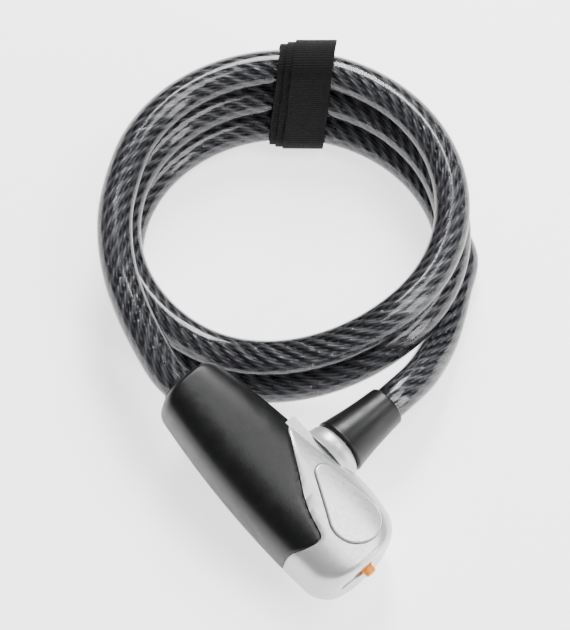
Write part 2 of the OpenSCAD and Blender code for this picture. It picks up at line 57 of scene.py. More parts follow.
# ---------------------------------------------------------------- frame
# Lengths below are in millimetres unless they say metres. The row frame is in metres.
MM = 0.001
SHIFT = Vector((-0.8, -2.2, 0.0))
PITCH = math.radians(10)
HEAD_LIFT = 7.395
HEAD = Matrix.Translation((SHIFT[0], SHIFT[1], HEAD_LIFT)) @ Matrix.Rotation(PITCH, 4, "Y")
TO_METRES = Matrix.Scale(MM, 4)
AXIS_Z = 12.5
BOLT_X = 5.4
CABLE_R = 6.0


def world(p):
    """A point in the lying frame, in metres in the row frame."""
    return (Vector(p) + SHIFT) * MM


def in_head(p):
    """A point of the head's own frame, in metres in the row frame."""
    return (HEAD @ Vector(p)) * MM


# ---------------------------------------------------------------- camera and light
AZ, EL = math.radians(46), math.radians(62)
RIGHT = Vector((math.cos(AZ), math.sin(AZ), 0))
BACK = Vector((math.sin(AZ) * math.cos(EL), -math.cos(AZ) * math.cos(EL), math.sin(EL)))
UP = BACK.cross(RIGHT)
cam_data = bpy.data.cameras.new("camera")
cam = bpy.data.objects.new("camera", cam_data)
bpy.context.scene.collection.objects.link(cam)
CAMERA_AT = (RIGHT * 4.4 + UP * 62.9 + BACK * 2200 + SHIFT) * MM
cam.matrix_world = Matrix.Translation(CAMERA_AT) @ Matrix((RIGHT, UP, BACK)).transposed().to_4x4()
cam_data.sensor_width = 36
cam_data.lens = 374
cam_data.clip_start, cam_data.clip_end = 0.05, 20
bpy.context.scene.camera = cam


def area_light(name, place, target, size, power, colour=(1, 1, 1)):
    data = bpy.data.lights.new(name, "AREA")
    data.shape = "RECTANGLE"
    data.size, data.size_y = size
    data.energy, data.color = power, colour
    light = bpy.data.objects.new(name, data)
    bpy.context.scene.collection.objects.link(light)
    light.location = place
    light.rotation_euler = (Vector(target) - Vector(place)).to_track_quat("-Z", "Y").to_euler()
    return light


MIDDLE = (-0.03, 0.05, 0.01)
area_light("key", (-0.5, 0.55, 0.75), MIDDLE, (0.3, 0.5), 17)
area_light("top", (0.25, 0.35, 1.0), MIDDLE, (0.5, 0.5), 9)
area_light("side", (0.75, 0.35, 0.35), MIDDLE, (0.2, 0.6), 5)
sky = bpy.data.worlds.new("studio")
bpy.context.scene.world = sky
sky.use_nodes = True
sky.node_tree.nodes["Background"].inputs[0].default_value = (1, 1, 1, 1)
sky.node_tree.nodes["Background"].inputs[1].default_value = 0.2


# ---------------------------------------------------------------- materials
def material(name, **values):
    m = bpy.data.materials.new(name)
    m.use_nodes = True
    shader = m.node_tree.nodes["Principled BSDF"]
    for key, value in values.items():
        socket = shader.inputs[key.replace("_", " ")]
        socket.default_value = (*value, 1) if isinstance(value, tuple) else value
    return m, m.node_tree, shader


def add(tree, kind, values=None, **props):
    node = tree.nodes.new(kind)
    for key, value in props.items():
        setattr(node, key, value)
    for key, value in (values or {}).items():
        node.inputs[key].default_value = value
    return node


def noise(tree, scale, detail=3.0, uv=False, stretch=None):
    place = add(tree, "ShaderNodeTexCoord")
    out = place.outputs["UV" if uv else "Object"]
    if stretch:
        mapping = add(tree, "ShaderNodeMapping", {"Scale": stretch})
        tree.links.new(out, mapping.inputs["Vector"])
        out = mapping.outputs["Vector"]
    tex = add(tree, "ShaderNodeTexNoise", {"Scale": scale, "Detail": detail})
    tree.links.new(out, tex.inputs["Vector"])
    return tex.outputs["Fac"]


def spread(tree, source, low, high, lo_in=0.3, hi_in=0.7):
    node = add(tree, "ShaderNodeMapRange",
               {"From Min": lo_in, "From Max": hi_in, "To Min": low, "To Max": high})
    tree.links.new(source, node.inputs["Value"])
    return node.outputs["Result"]


def bump(tree, shader, height, distance, strength=1.0):
    node = add(tree, "ShaderNodeBump", {"Strength": strength, "Distance": distance})
    tree.links.new(height, node.inputs["Height"])
    tree.links.new(node.outputs["Normal"], shader.inputs["Normal"])


def tint(tree, shader, factor, a, b):
    mix = add(tree, "ShaderNodeMix", data_type="RGBA")
    mix.inputs["A"].default_value = (*a, 1)
    mix.inputs["B"].default_value = (*b, 1)
    tree.links.new(factor, mix.inputs["Factor"])
    tree.links.new(mix.outputs["Result"], shader.inputs["Base Color"])


def moulded(name, dark, light, rough, grain=0.00002, **values):
    m, tree, shader = material(name, **values)
    tint(tree, shader, noise(tree, 60), dark, light)
    tree.links.new(spread(tree, noise(tree, 220), rough - 0.05, rough + 0.06), shader.inputs["Roughness"])
    bump(tree, shader, noise(tree, 2600, 2.0), grain)
    return m


def metal(name, dark, light, rough, stretch=None, metallic=1.0, grain=0.000015, **values):
    m, tree, shader = material(name, Metallic=metallic, **values)
    tint(tree, shader, noise(tree, 90), dark, light)
    fine = noise(tree, 900, 3.0, stretch=stretch)
    tree.links.new(spread(tree, fine, rough - 0.07, rough + 0.08), shader.inputs["Roughness"])
    bump(tree, shader, fine, grain)
    return m


GRIP = moulded("grip plastic", (0.0035, 0.0036, 0.004), (0.006, 0.0062, 0.0066), 0.36, 0.00003,
               Specular_IOR_Level=0.32)
SILVER = metal("satin silver paint", (0.52, 0.525, 0.53), (0.57, 0.575, 0.58), 0.36, metallic=0.55, grain=0.0000008)
BADGE = metal("badge paint", (0.60, 0.605, 0.61), (0.65, 0.655, 0.66), 0.34, metallic=0.5, grain=0.0000006)
DIECAST = metal("die cast", (0.38, 0.38, 0.4), (0.5, 0.5, 0.52), 0.5, grain=0.00006)
STEEL = metal("steel", (0.5, 0.5, 0.52), (0.62, 0.62, 0.64), 0.28)
TURNED = metal("turned steel", (0.6, 0.6, 0.62), (0.7, 0.7, 0.72), 0.2, stretch=(0.2, 6, 0.2))
BRASS = metal("brass", (0.62, 0.47, 0.2), (0.74, 0.58, 0.28), 0.3)
SCREW = metal("zinc screw", (0.4, 0.4, 0.42), (0.52, 0.52, 0.53), 0.35)
RUBBER = moulded("rubber", (0.012, 0.012, 0.013), (0.02, 0.02, 0.021), 0.6, 0.00004)
SLEEVE = moulded("sleeve plastic", (0.0035, 0.0035, 0.0039), (0.006, 0.006, 0.0065), 0.36, 0.00003,
                 Specular_IOR_Level=0.32)
YELLOW = moulded("yellow plastic", (0.9, 0.26, 0.0), (0.95, 0.31, 0.0), 0.3, 0.00002, Specular_IOR_Level=0.3)


# ---------------------------------------------------------------- mesh helpers
def new_object(name, verts, faces, mat, smooth=True):
    mesh = bpy.data.meshes.new(name)
    mesh.from_pydata([tuple(v) for v in verts], [], faces)
    mesh.validate()
    if smooth:
        mesh.shade_smooth()
    obj = bpy.data.objects.new(name, mesh)
    bpy.context.scene.collection.objects.link(obj)
    if mat:
        mesh.materials.append(mat)
    return obj


def skin(rings, closed_ends=True):
    """Points and faces of a tube through a row of rings."""
    n, m = len(rings[0]), len(rings)
    verts = [v for r in rings for v in r]
    faces = [(j * n + i, j * n + (i + 1) % n, (j + 1) * n + (i + 1) % n, (j + 1) * n + i)
             for j in range(m - 1) for i in range(n)]
    if closed_ends:
        for ring, turned in ((0, True), (m - 1, False)):
            middle = sum((Vector(v) for v in rings[ring]), Vector()) / n
            verts.append(middle)
            for i in range(n):
                a, b = ring * n + i, ring * n + (i + 1) % n
                faces.append((b, a, len(verts) - 1) if turned else (a, b, len(verts) - 1))
    return verts, faces


def evaluated(obj):
    graph = bpy.context.evaluated_depsgraph_get()
    graph.update()
    return bpy.data.meshes.new_from_object(obj.evaluated_get(graph))


def cut(obj, other, how, inside=False):
    mod = obj.modifiers.new("cut", "BOOLEAN")
    mod.object, mod.operation, mod.solver, mod.use_self = other, how, "EXACT", inside
    mesh = evaluated(obj)
    obj.modifiers.clear()
    obj.data = mesh
    bpy.data.objects.remove(other)


def box_part(lo, hi):
    verts = [(x, y, z) for x in (lo[0], hi[0]) for y in (lo[1], hi[1]) for z in (lo[2], hi[2])]
    return verts, [(0, 1, 3, 2), (4, 6, 7, 5), (0, 4, 5, 1), (2, 3, 7, 6), (0, 2, 6, 4), (1, 5, 7, 3)]


def rod_part(start, axis, r, length, sides=48, r2=None):
    axis = Vector(axis).normalized()
    a = axis.orthogonal().normalized()
    b = axis.cross(a)
    rings = []
    for d, radius in ((0, r), (length, r if r2 is None else r2)):
        rings.append([Vector(start) + axis * d + radius * (math.cos(t) * a + math.sin(t) * b)
                      for t in (2 * math.pi * i / sides for i in range(sides))])
    verts = rings[0] + rings[1]
    faces = [(i, (i + 1) % sides, sides + (i + 1) % sides, sides + i) for i in range(sides)]
    return verts, faces + [tuple(reversed(range(sides))), tuple(range(sides, 2 * sides))]


def prism_part(outline, z0, z1):
    n = len(outline)
    pairs = [(outline[i], outline[(i + 1) % n]) for i in range(n)]
    area = sum(a[0] * b[1] - b[0] * a[1] for a, b in pairs)
    pts = outline if area > 0 else outline[::-1]
    verts = [(x, y, z0) for x, y in pts] + [(x, y, z1) for x, y in pts]
    faces = [(i, (i + 1) % n, n + (i + 1) % n, n + i) for i in range(n)]
    return verts, faces + [tuple(reversed(range(n))), tuple(range(n, 2 * n))]


def joined(name, parts):
    verts, faces = [], []
    for v, f in parts:
        faces += [tuple(i + len(verts) for i in face) for face in f]
        verts += list(v)
    return new_object(name, verts, faces, None, smooth=False)


def finish_part(obj, mat, body, matrix=HEAD, angle=35, replaces=()):
    """Takes a piece from millimetres in the head's frame to the row frame, and puts it on its body."""
    obj.data.transform(TO_METRES @ matrix)
    obj.data.materials.clear()
    obj.data.materials.append(mat)
    for p in obj.data.polygons:
        p.material_index = 0
    obj.data.shade_smooth()
    obj.data.set_sharp_from_angle(angle=math.radians(angle))
    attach(obj, body)
    if replaces:
        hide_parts(*replaces)
    return obj


# ---------------------------------------------------------------- head surface
CABLE_END, KEY_END, END_ROUND = 45.5, 40.0, 1.6
KEY_CORNER, CABLE_CORNER = 6.5, 4.5
HALF_W, CABLE_HALF_W, HEAD_T, CABLE_T, BOW, WIDEST = 18.2, 11.8, 25.5, 22.5, 2.8, 18.0
SECTION_Z, BACK_CUT, POWER = 10.0, 0.8, 3.1


def half_w(x):
    return HALF_W - (HALF_W - CABLE_HALF_W) / (WIDEST + CABLE_END) ** 2 * (x - WIDEST) ** 2


def swell(x):
    return 2.6 * math.exp(-((x - 22) / 16) ** 2)


def top_z(x):
    return HEAD_T - (HEAD_T - CABLE_T) / (WIDEST + CABLE_END) ** 2 * (x - WIDEST) ** 2


def end_bow(x, y):
    return 0.0 if x < 0 else BOW * (x / KEY_END) ** 2 * (1 - (y / HALF_W) ** 2)


def signed_pow(v, p):
    return math.copysign(abs(v) ** p, v)


def inset(depth, r):
    return r - math.sqrt(max(0.0, r * r - (r - depth) ** 2)) if depth < r else 0.0


def section(x, in_y, in_z, sides, lift=0.0):
    ring = []
    for i in range(sides):
        a = 2 * math.pi * (i + 0.5) / sides
        c, s = signed_pow(math.cos(a), 2 / POWER), signed_pow(math.sin(a), 2 / POWER)
        w = half_w(x) - in_y + (swell(x) if c > 0 else 0)
        up, down = top_z(x) - SECTION_Z - in_z + lift, SECTION_Z + BACK_CUT - in_z
        y = w * c
        ring.append(Vector((x + end_bow(x, y), y, SECTION_Z + (up if s > 0 else down) * s)))
    return ring


def insets(x):
    near_cable, near_key = max(x + CABLE_END, 0.0), max(KEY_END - x, 0.0)
    if near_cable < near_key:
        return inset(near_cable, CABLE_CORNER), inset(near_cable, END_ROUND)
    return inset(near_key, KEY_CORNER), inset(near_key, END_ROUND)


def head_top(x, y, lift=0.0):
    """Height of the head's top over a place on it, in the head's frame."""
    u = x
    for _ in range(6):
        u = x - end_bow(u, y)
    w = half_w(u) + (swell(u) if y > 0 else 0)
    return SECTION_Z + (top_z(u) - SECTION_Z + lift) * max(0.0, 1 - abs(y / w) ** POWER) ** (1 / POWER)


def outside(p):
    """1 on the head's surface, less inside it."""
    u = p[0]
    for _ in range(6):
        u = p[0] - end_bow(u, p[1])
    in_y, in_z = insets(u)
    w = half_w(u) - in_y + (swell(u) if p[1] > 0 else 0)
    h = top_z(u) - SECTION_Z - in_z if p[2] > SECTION_Z else SECTION_Z + BACK_CUT - in_z
    return (abs(p[1] / w) ** POWER + abs((p[2] - SECTION_Z) / h) ** POWER) ** (1 / POWER)


def head_block(name, along=112, sides=128, end_steps=14):
    steps = [(k / end_steps) ** 2 for k in range(end_steps + 1)]
    x0, x1 = -CABLE_END + CABLE_CORNER, KEY_END - KEY_CORNER
    spots = [-CABLE_END + CABLE_CORNER * f for f in steps]
    spots += [x0 + (x1 - x0) * k / along for k in range(1, along)]
    spots += [KEY_END - KEY_CORNER * f for f in reversed(steps)]
    verts, faces = skin([section(x, *insets(x), sides) for x in spots])
    faces = [tuple(reversed(f)) for f in faces]
    return new_object(name, verts, faces, None)


PARTING = [(-11.5, 21), (-10.4, 16), (-8.4, 12.4), (-5, 9.8), (0, 6.5), (6, 2.8), (12, -1), (18, -3.8),
           (23, -5.3), (25.4, -6.1), (26.6, -7.1), (26.9, -8.6), (26.4, -11), (25.2, -14),
           (22.8, -18), (21, -24)]


def catmull(p, i, t):
    def at(k):
        if k < 0:
            return p[0] * 2 - p[1]
        if k >= len(p):
            return p[-1] * 2 - p[-2]
        return p[k]
    a, b, c, d = at(i - 1), at(i), at(i + 1), at(i + 2)
    return 0.5 * (b * 2 + (c - a) * t + (a * 2 - b * 5 + c * 4 - d) * t * t + (b * 3 - a - c * 3 + d) * t ** 3)


def smooth_line(points, steps):
    p = [Vector(q) for q in points]
    return [catmull(p, i, k / steps) for i in range(len(p) - 1) for k in range(steps)] + [p[-1]]


parting = smooth_line(PARTING, 4)


def parting_distance(x, y):
    best = 1e9
    q = Vector((x, y))
    for a, b in zip(parting, parting[1:]):
        d = b - a
        t = max(0.0, min(1.0, (q - a).dot(d) / d.length_squared))
        best = min(best, (a + d * t - q).length)
    return best


CORE_X0, CORE_TOP = -37.8, 22.2
SCREWS = [(-5, -7.5), (25, -11.6), (25, 11.6)]
COLLAR_R = 10.4


def shell_cutters(gap=0.1):
    parts = [
        rod_part((CORE_X0 - gap, -1, 11.5), (1, 0, 0), 9.1 + gap, 54),
        box_part((-11 - gap, -13 - gap, 2.6 - gap), (17.1, 16.8 + gap, CORE_TOP + gap)),
        box_part((17, -9.6 - gap, 2.5), (36 + gap, 9.6 + gap, CORE_TOP + gap)),
        box_part((17, -14.7, 2.5), (29.7, 14.7, 9.1)),
        rod_part((-46.5, -1, 11.5), (1, 0, 0), 7.4, 10),
        rod_part((BOLT_X, 16.6, AXIS_Z), (0, 1, 0), COLLAR_R - 0.7, 20, 64),
        box_part((35.9, -14.1, 7.2), (39.0, 14.3, 17.6)),
        rod_part((35, 0, AXIS_Z), (1, 0, 0), 7.6, 2.9),
        rod_part((37.6, 0, AXIS_Z), (1, 0, 0), 4.2, 12),
        box_part((37.6, -9.2, 9.2), (50, 4.1, 12.4)),
    ]
    for x, y in SCREWS:
        parts += [rod_part((x, y, -1), (0, 0, 1), 2.9, 2.6, 32), rod_part((x, y, -1), (0, 0, 1), 1.35, 5, 24)]
    return joined("cutters", parts)


def round_parting(obj, radius=0.7):
    for v in obj.data.vertices:
        p = v.co
        if outside(p) < 0.996:
            continue
        d = parting_distance(p[0], p[1]) - 0.12
        if d < radius:
            d = max(d, 0.0)
            depth = (radius - math.sqrt(max(0.0, radius ** 2 - (radius - d) ** 2))) * 0.6
            e = 0.05
            g = Vector([outside(p + Vector((e if k == i else 0 for k in range(3))))
                        - outside(p - Vector((e if k == i else 0 for k in range(3)))) for i in range(3)])
            if g.length > 1e-9:
                v.co = p - g.normalized() * depth


BIG, SMALL, LIFT = (29.2, 6.6, 9.0), (11.0, 9.9, 3.4), 0.75


def teardrop():
    """Outline points of the pad, each with the place on its spine that it is drawn from."""
    across = Vector((SMALL[0] - BIG[0], SMALL[1] - BIG[1]))
    lean = math.acos((BIG[2] - SMALL[2]) / across.length)
    a = math.atan2(across[1], across[0])
    rim = []
    for c, start, end, n in ((BIG, a + lean, a + 2 * math.pi - lean, 60), (SMALL, a - lean, a + lean, 24)):
        for k in range(n + 1):
            t = start + (end - start) * k / n
            rim.append((Vector((c[0] + c[2] * math.cos(t), c[1] + c[2] * math.sin(t))), Vector(c[:2])))
    full = []
    for (p, c), (q, d) in zip(rim, rim[1:] + rim[:1]):
        steps = max(1, round((q - p).length / 0.8))
        full += [(p.lerp(q, k / steps), c.lerp(d, k / steps)) for k in range(steps)]
    return full


def shifted(points, gap):
    return [(q[0] + gap, q[1] + gap) for q in points]


for name, side, mat, node, slot in (("grip_shell", -0.15, GRIP, "grip_cover", "grip"),
                                    ("housing_shell", 0.15, SILVER, "key_end_housing", "housing")):
    block = head_block(name)
    edge_line = shifted(parting, side)
    far_x = math.copysign(80, side)
    region = joined("region", [prism_part(edge_line + [(far_x, -40), (far_x, 40)], 0.0, 60.0)])
    cut(block, region, "INTERSECT")
    cut(block, shell_cutters(), "DIFFERENCE", inside=True)
    if side > 0:
        seat = [tuple(c + (p - c) * (1 + 0.3 / (p - c).length)) for p, c in teardrop()]
        cut(block, joined("seat", [prism_part(seat, 22.4, 40)]), "DIFFERENCE")
    round_parting(block)
    finish_part(block, mat, "head", replaces=(node,))

# ---------------------------------------------------------------- badge pad
def tidy(obj):
    """Joins points that coincide, closes the openings and turns the faces outward."""
    bm = bmesh.new()
    bm.from_mesh(obj.data)
    bmesh.ops.remove_doubles(bm, verts=bm.verts, dist=1e-4)
    bmesh.ops.holes_fill(bm, edges=[e for e in bm.edges if e.is_boundary], sides=0)
    bmesh.ops.recalc_face_normals(bm, faces=bm.faces)
    bm.to_mesh(obj.data)
    bm.free()


def badge_pad():
    rim = teardrop()
    rings = []
    for depth in (-1.0, 0.25):
        rings.append([Vector((p[0], p[1], head_top(p[0], p[1]) + depth)) for p, c in rim])
    for f in [1 - 0.012 * k for k in range(1, 9)] + [0.86, 0.8, 0.7, 0.6, 0.5, 0.4, 0.3, 0.2, 0.1, 0.0]:
        ring = []
        for p, c in rim:
            q = c.lerp(p, f)
            d = (1 - f) * (p - c).length
            edge = math.sqrt(max(0.0, 1 - (1 - min(d / 0.7, 1.0)) ** 2))
            ring.append(Vector((q[0], q[1], head_top(q[0], q[1]) + 0.25 + (LIFT - 0.25) * edge)))
        rings.append(ring)
    verts, faces = skin(rings, closed_ends=False)
    obj = new_object("badge_pad", verts, faces, BADGE)
    tidy(obj)
    return obj


finish_part(badge_pad(), BADGE, "head", replaces=("badge_plate",))


# ---------------------------------------------------------------- turned pieces
def rounded(profile, radius, steps=4):
    """The same profile with its inner corners rounded."""
    out = []
    for i, p in enumerate(profile):
        p = Vector(p)
        if i in (0, len(profile) - 1):
            out.append(p)
            continue
        a, b = Vector(profile[i - 1]) - p, Vector(profile[i + 1]) - p
        r = min(radius, a.length * 0.45, b.length * 0.45)
        start, end = p + a.normalized() * r, p + b.normalized() * r
        for k in range(steps + 1):
            t = k / steps
            out.append(start * (1 - t) ** 2 + p * 2 * t * (1 - t) + end * t * t)
    return out


def lathe(name, profile, origin, axis, sides=96, closed=True):
    """Turns (radius, distance along the axis) pairs about the axis."""
    axis = Vector(axis)
    a = axis.orthogonal().normalized()
    b = axis.cross(a)
    rings = [[Vector(origin) + axis * d + r * (math.cos(t) * a + math.sin(t) * b)
              for t in (2 * math.pi * i / sides for i in range(sides))] for r, d in profile]
    n, m = sides, len(rings)
    faces = [(j % m * n + i, (j + 1) % m * n + i, (j + 1) % m * n + (i + 1) % n, j % m * n + (i + 1) % n)
             for j in range(m if closed else m - 1) for i in range(n)]
    obj = new_object(name, [v for r in rings for v in r], faces, None)
    tidy(obj)
    return obj


BOLT_ORIGIN = (BOLT_X, 0, AXIS_Z)
Y_AXIS = (0, 1, 0)
collar_profile = [(4.8, 16.9), (4.8, 22.6), (5.5, 23.25), (9.3, 23.25), (10.2, 22.2), (10.35, 21), (10.5, 19.8),
                  (10.9, 18.5), (11.6, 17.3), (12.2, 16.3), (9.8, 16.9), (4.8, 16.9)]
collar = lathe("collar", rounded(collar_profile, 0.9, 5), BOLT_ORIGIN, Y_AXIS)
finish_part(collar, SILVER, "head", replaces=("socket_collar",))

SLEEVE_Y0, SLEEVE_LEN = 23.7, 22.9
sleeve_profile = [(6.8, 24.7), (8.3, 23.7), (9.6, 23.7), (10.1, 24.3)]
sleeve_profile += [(10.1 - 2.9 * f - 0.35 * math.sin(math.pi * f), SLEEVE_Y0 + SLEEVE_LEN * f)
                   for f in (0.1, 0.2, 0.3, 0.4, 0.5, 0.6, 0.7, 0.8, 0.9)]
sleeve_profile += [(7.2, 46.1), (6.9, 46.6), (6.25, 46.6), (6.15, 40), (6.8, 40), (6.8, 24.7)]
sleeve = lathe("sleeve", rounded(sleeve_profile, 0.5, 3), BOLT_ORIGIN, Y_AXIS)
finish_part(sleeve, SLEEVE, "bolt_end", replaces=("bolt_sleeve",))

grommet = lathe("grommet", rounded([(6.05, -46.3), (6.5, -46.4), (7.2, -45.2), (7.35, -44.4), (7.35, -38),
                                    (6.05, -38), (6.05, -46.3)], 0.4, 3), (0, -1, 11.5), (1, 0, 0))
finish_part(grommet, RUBBER, "head", replaces=("cable_grommet",))


def rounded_boxes(name, boxes, width):
    obj = joined(name, [boxes[0]])
    for part in boxes[1:]:
        cut(obj, joined("more", [part]), "UNION")
    mod = obj.modifiers.new("bevel", "BEVEL")
    mod.width, mod.segments, mod.limit_method, mod.angle_limit = width, 3, "ANGLE", math.radians(40)
    obj.data = evaluated(obj)
    obj.modifiers.clear()
    return obj


plate = rounded_boxes("cover_plate", [box_part((37.76, -4.8, 7.4), (38.94, 5.0, 17.4))], 0.3)
finish_part(plate, SILVER, "cover", replaces=("dust_cover",))
tab = rounded_boxes("cover_tab", [box_part((38.7, 0.1, 9.4), (44.8, 3.9, 12.2))], 0.75)
finish_part(tab, YELLOW, "cover")


# ---------------------------------------------------------------- cable
# Middle of the first turn and its half axes, and how far the middle moves with each turn
COIL = (4.8, 98.4, 56.0, 52.4)
TURN_P, TURN_Q = 0.6, -4.0
TOP_LAYER, LAYER_H = 30, 12


def smoothstep(lo, hi, x):
    t = max(0.0, min(1.0, (x - lo) / (hi - lo)))
    return t * t * (3 - 2 * t)


def lying(p, q, z):
    c, s = math.cos(AZ), math.sin(AZ)
    return world((p * c - q * s, p * s + q * c, z))


def coil_point(t):
    a = math.pi - 2 * math.pi * t
    p = COIL[0] + TURN_P * t + COIL[2] * math.cos(a)
    q = COIL[1] + TURN_Q * t + COIL[3] * math.sin(a)
    layer = TOP_LAYER - LAYER_H * smoothstep(0.62, 0.85, t) - LAYER_H * smoothstep(1.62, 1.85, t)
    return lying(p, q, layer + 3 * (q - 36) / 112)


lead_points = [in_head((x, -1, 11.5)) for x in (-33.8, -40, -45.5, -53.5)]
lead_points += [world(p) for p in ((-64, 2.6, 29.2), (-74, 6.2, 30), (-84, 11, 30.4), (-94, 17.5, 31),
                                   (-103, 25.5, 31.4), (-110, 34.5, 31.6))]
# Turns counted from the far end of the long half axis: where the coil starts and ends, and where
# the stretch that follows the bolt end begins
COIL_FROM, COIL_TO, SPLIT_TURN = 0.055, 2.47, 2.26
COIL_POINTS = 88
coil_ts = [COIL_FROM + (COIL_TO - COIL_FROM) * k / (COIL_POINTS - 1) for k in range(COIL_POINTS)]
tail_points = [world(p) for p in ((-19, 108, 7), (-12.5, 98.5, 7), (-6.5, 89.5, 7.2), (-1.2, 80.5, 8.5),
                                  (3, 71.5, 11.8), (6.2, 62.5, 16))]
tail_points += [in_head((BOLT_X, y, AXIS_Z)) for y in (52.6, 46.6, 42, 37, 32.1)]
route = lead_points + [coil_point(t) for t in coil_ts] + tail_points
split_at = len(lead_points) + min(range(len(coil_ts)), key=lambda i: abs(coil_ts[i] - SPLIT_TURN))


def even(points, step):
    """Points at even spacing along a smooth line through the given ones."""
    fine = smooth_line(points, 24)
    total = [0.0]
    for a, b in zip(fine, fine[1:]):
        total.append(total[-1] + (b - a).length)
    n = max(2, round(total[-1] / step))
    out, j = [], 0
    for k in range(n + 1):
        want = total[-1] * k / n
        while j < len(total) - 2 and total[j + 1] < want:
            j += 1
        span = total[j + 1] - total[j]
        out.append(fine[j].lerp(fine[j + 1], min(1.0, (want - total[j]) / span if span else 0)))
    return out, total[-1]


CABLE_STEP = 0.0012
line, cable_length = even(route, CABLE_STEP)
split_point = route[split_at]
split = min(range(len(line)), key=lambda i: (line[i] - split_point).length)
# Frames that don't roll along the cable
sides_of = []
side = (line[1] - line[0]).orthogonal().normalized()
for i, p in enumerate(line):
    d = (line[min(i + 1, len(line) - 1)] - line[max(i - 1, 0)]).normalized()
    side = (side - d * side.dot(d)).normalized()
    sides_of.append((side.copy(), d.cross(side)))
LAY_LENGTH = 0.04
STRANDS, STRAND_R, STRAND_AT = 7, 1.42, 3.2


def strand_radius(a):
    part = 2 * math.pi / STRANDS
    d = (a + part / 2) % part - part / 2
    s = STRAND_AT * math.sin(d)
    return (STRAND_AT * math.cos(d) + math.sqrt(max(0.0, STRAND_R ** 2 - s * s))) * MM


def tube(name, first, last, every, sides, radius, mat, twist):
    picks = list(range(first, last, every)) + [last]
    rings, us = [], []
    for i in picks:
        a_side, b_side = sides_of[i]
        turn = 2 * math.pi * i * cable_length / (len(line) - 1) / LAY_LENGTH if twist else 0.0
        ring = []
        for k in range(sides):
            a = 2 * math.pi * k / sides
            ring.append(line[i] + radius(a) * (math.cos(a + turn) * a_side + math.sin(a + turn) * b_side))
        rings.append(ring)
        us.append(i * cable_length / (len(line) - 1))
    verts, faces = skin(rings)
    obj = new_object(name, verts, faces, mat)
    uv = obj.data.uv_layers.new(name="along")
    n = sides
    for poly in obj.data.polygons:
        ks = [v % n for v in poly.vertices if v < len(picks) * n]
        wrap = max(ks) == n - 1 and min(ks) == 0 and n > 3
        for loop in poly.loop_indices:
            v = obj.data.loops[loop].vertex_index
            if v < len(picks) * n:
                k = v % n
                uv.data[loop].uv = (us[v // n] * 100, (n if wrap and k == 0 else k) / n)
    return obj


def sheath_material():
    m, tree, shader = material("clear smoked sheath with painted dark rim", Transmission_Weight=1.0, IOR=1.42, Roughness=0.14,
                               Specular_IOR_Level=0.35)
    # Base colour goes from the smoked tint in the middle of the sheath to near black at its rims, by how squarely
    # each place faces the camera: painted shade on the rims.
    rim = add(tree, "ShaderNodeLayerWeight", {"Blend": 0.5})
    tint(tree, shader, spread(tree, rim.outputs["Facing"], 0.0, 1.0, 0.45, 0.85), (0.38, 0.385, 0.395),
         (0.03, 0.03, 0.032))
    bump(tree, shader, noise(tree, 90, 1.0), 0.00004)
    return m


def strand_material():
    """Painted highlights on the tops of the strands and painted shade in the grooves between them, with the fine
    wires slanting across each as bumps and as painted light and shade.
    """
    m, tree, shader = material("steel strands", Metallic=0.8)
    uv = add(tree, "ShaderNodeTexCoord")
    parts = add(tree, "ShaderNodeSeparateXYZ")
    tree.links.new(uv.outputs["UV"], parts.inputs[0])
    turns = add(tree, "ShaderNodeMath", {1: 2 * math.pi * STRANDS}, operation="MULTIPLY")
    tree.links.new(parts.outputs["Y"], turns.inputs[0])
    painted_crown_groove_shading = add(tree, "ShaderNodeMath", operation="COSINE")
    tree.links.new(turns.outputs[0], painted_crown_groove_shading.inputs[0])
    mapping = add(tree, "ShaderNodeMapping", {"Scale": (2.4, 16, 1)})
    tree.links.new(uv.outputs["UV"], mapping.inputs["Vector"])
    wires = add(tree, "ShaderNodeTexWave", {"Scale": 1.0, "Distortion": 1.2, "Detail": 1.0}, wave_type="BANDS",
                bands_direction="DIAGONAL")
    tree.links.new(mapping.outputs["Vector"], wires.inputs["Vector"])
    painted_strand_light_shade = add(tree, "ShaderNodeMath", {1: 0.5}, operation="MULTIPLY_ADD")
    tree.links.new(wires.outputs["Fac"], painted_strand_light_shade.inputs[0])
    tree.links.new(spread(tree, painted_crown_groove_shading.outputs[0], 0.0, 0.5, -0.6, 1.0), painted_strand_light_shade.inputs[2])
    # Base colour: painted highlight on the tops of the strands and on the wire ridges, painted shade in the
    # grooves.
    tint(tree, shader, painted_strand_light_shade.outputs[0], (0.07, 0.07, 0.075), (0.33, 0.33, 0.35))
    tree.links.new(spread(tree, noise(tree, 500), 0.26, 0.44), shader.inputs["Roughness"])
    bump(tree, shader, wires.outputs["Fac"], 0.0002)
    return m


SHEATH, WIRE = sheath_material(), strand_material()


def plain(a):
    return CABLE_R * MM


last = len(line) - 1
jacket_main = tube("cable_sheath", 0, split, 2, 28, plain, SHEATH, False)
core_main = tube("cable_strands", 0, split, 1, 63, strand_radius, WIRE, True)
jacket_tail = tube("cable_end_sheath", split, last, 2, 28, plain, SHEATH, False)
core_tail = tube("cable_end_strands", split, last, 1, 63, strand_radius, WIRE, True)
for obj in (jacket_main, core_main):
    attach(obj, "head")
for obj in (jacket_tail, core_tail):
    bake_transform(obj)
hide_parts("cable_lead", "cable_coil")
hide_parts("cable_tail")

# ---------------------------------------------------------------- strap
STRAP_W, STRAP_T, WRAPS = 14.0, 0.68, 2.93
STRAP_START, STRAP_STEPS = 0.03, 420
STRAP_INNER_R, STRAP_LAYER_GAP = 6.08, 0.04
TOP, BOTTOM = Vector((150.3, 34.2)), Vector((141.4, 8.9))
run = (BOTTOM - TOP).length
down = (BOTTOM - TOP) / run
out = Vector((-down[1], down[0]))
out_angle = math.atan2(out[1], out[0])


